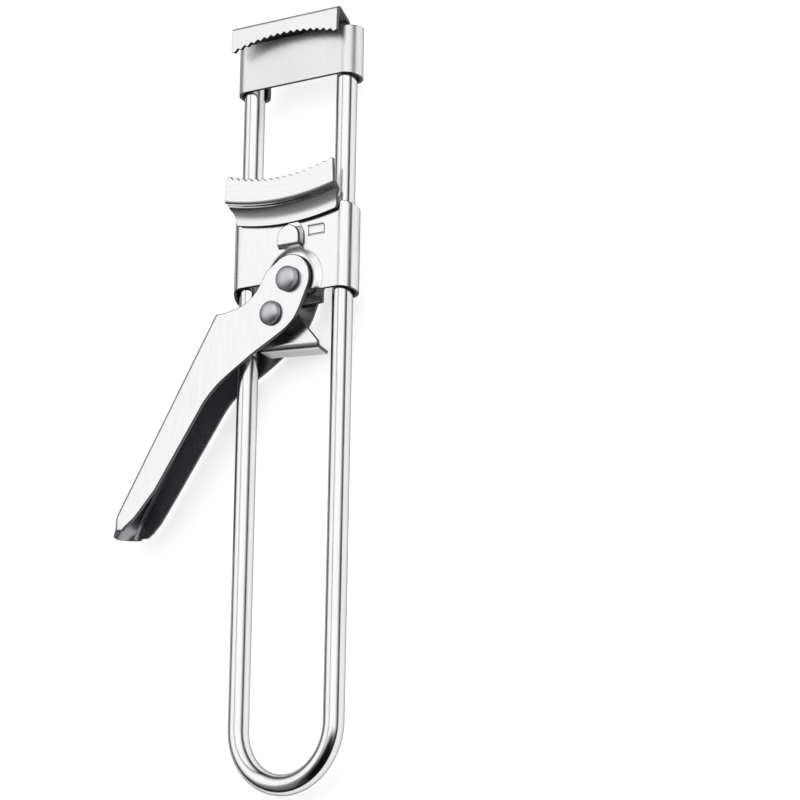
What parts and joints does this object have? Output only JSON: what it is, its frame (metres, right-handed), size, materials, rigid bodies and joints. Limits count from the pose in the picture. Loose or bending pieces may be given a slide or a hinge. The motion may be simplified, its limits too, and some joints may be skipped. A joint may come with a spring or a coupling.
{
  "type": "adjustable jar opener",
  "caption": "Stainless lid opener: a toothed jaw slides on a wire loop towards a fixed jaw and a hand lever with a brake plate grips the lid between them.",
  "frame": {"origin": "centre of the bottom of the whole tool's box, lying on its back", "axes": "+Y along the two bars from the closed loop end to the fixed jaw, +X to the right seen from the front, +Z out of the front, the side of the rivet heads and the jaws"},
  "size_m": [0.0756, 0.2024, 0.0147],
  "materials": {
    "wire": "polished stainless wire",
    "clip_sheet": "polished stainless sheet",
    "jaw_sheet": "polished stainless sheet",
    "sleeve_sheet": "polished stainless sheet",
    "lever_sheet": "polished stainless sheet",
    "brake_sheet": "polished stainless sheet",
    "rivet": "tumbled stainless, slightly darker than the sheet"
  },
  "bodies": {
    "frame": {"loop_rod": "wire", "head_clip": "clip_sheet", "upper_jaw": "jaw_sheet"},
    "carriage": {"carriage_sleeve": "sleeve_sheet", "lower_jaw": "jaw_sheet", "pivot_rivet": "rivet"},
    "lever": {"lever": "lever_sheet", "link_rivet": "rivet"},
    "brake": {"brake_plate": "brake_sheet"}
  },
  "joints": [
    {"name": "carriage_slide", "type": "slide", "parent": "frame", "child": "carriage", "axis": [0, 1, 0], "range_m": [-0.09, 0.032]},
    {"name": "lever_pivot", "type": "hinge", "parent": "carriage", "child": "lever", "pos_m": [0.02088, 0.0306, 0.00595], "axis": [0, 0, 1], "range_deg": [-12, 15]},
    {"name": "brake_pivot", "type": "hinge", "parent": "lever", "child": "brake", "pos_m": [0.01548, 0.0223, 0.00595], "axis": [0, 0, 1], "range_deg": [-12.5, 10]}
  ],
  "couplings": [
    {"joint": "brake_pivot", "follows": "lever_pivot", "ratio": -0.8}
  ]
}
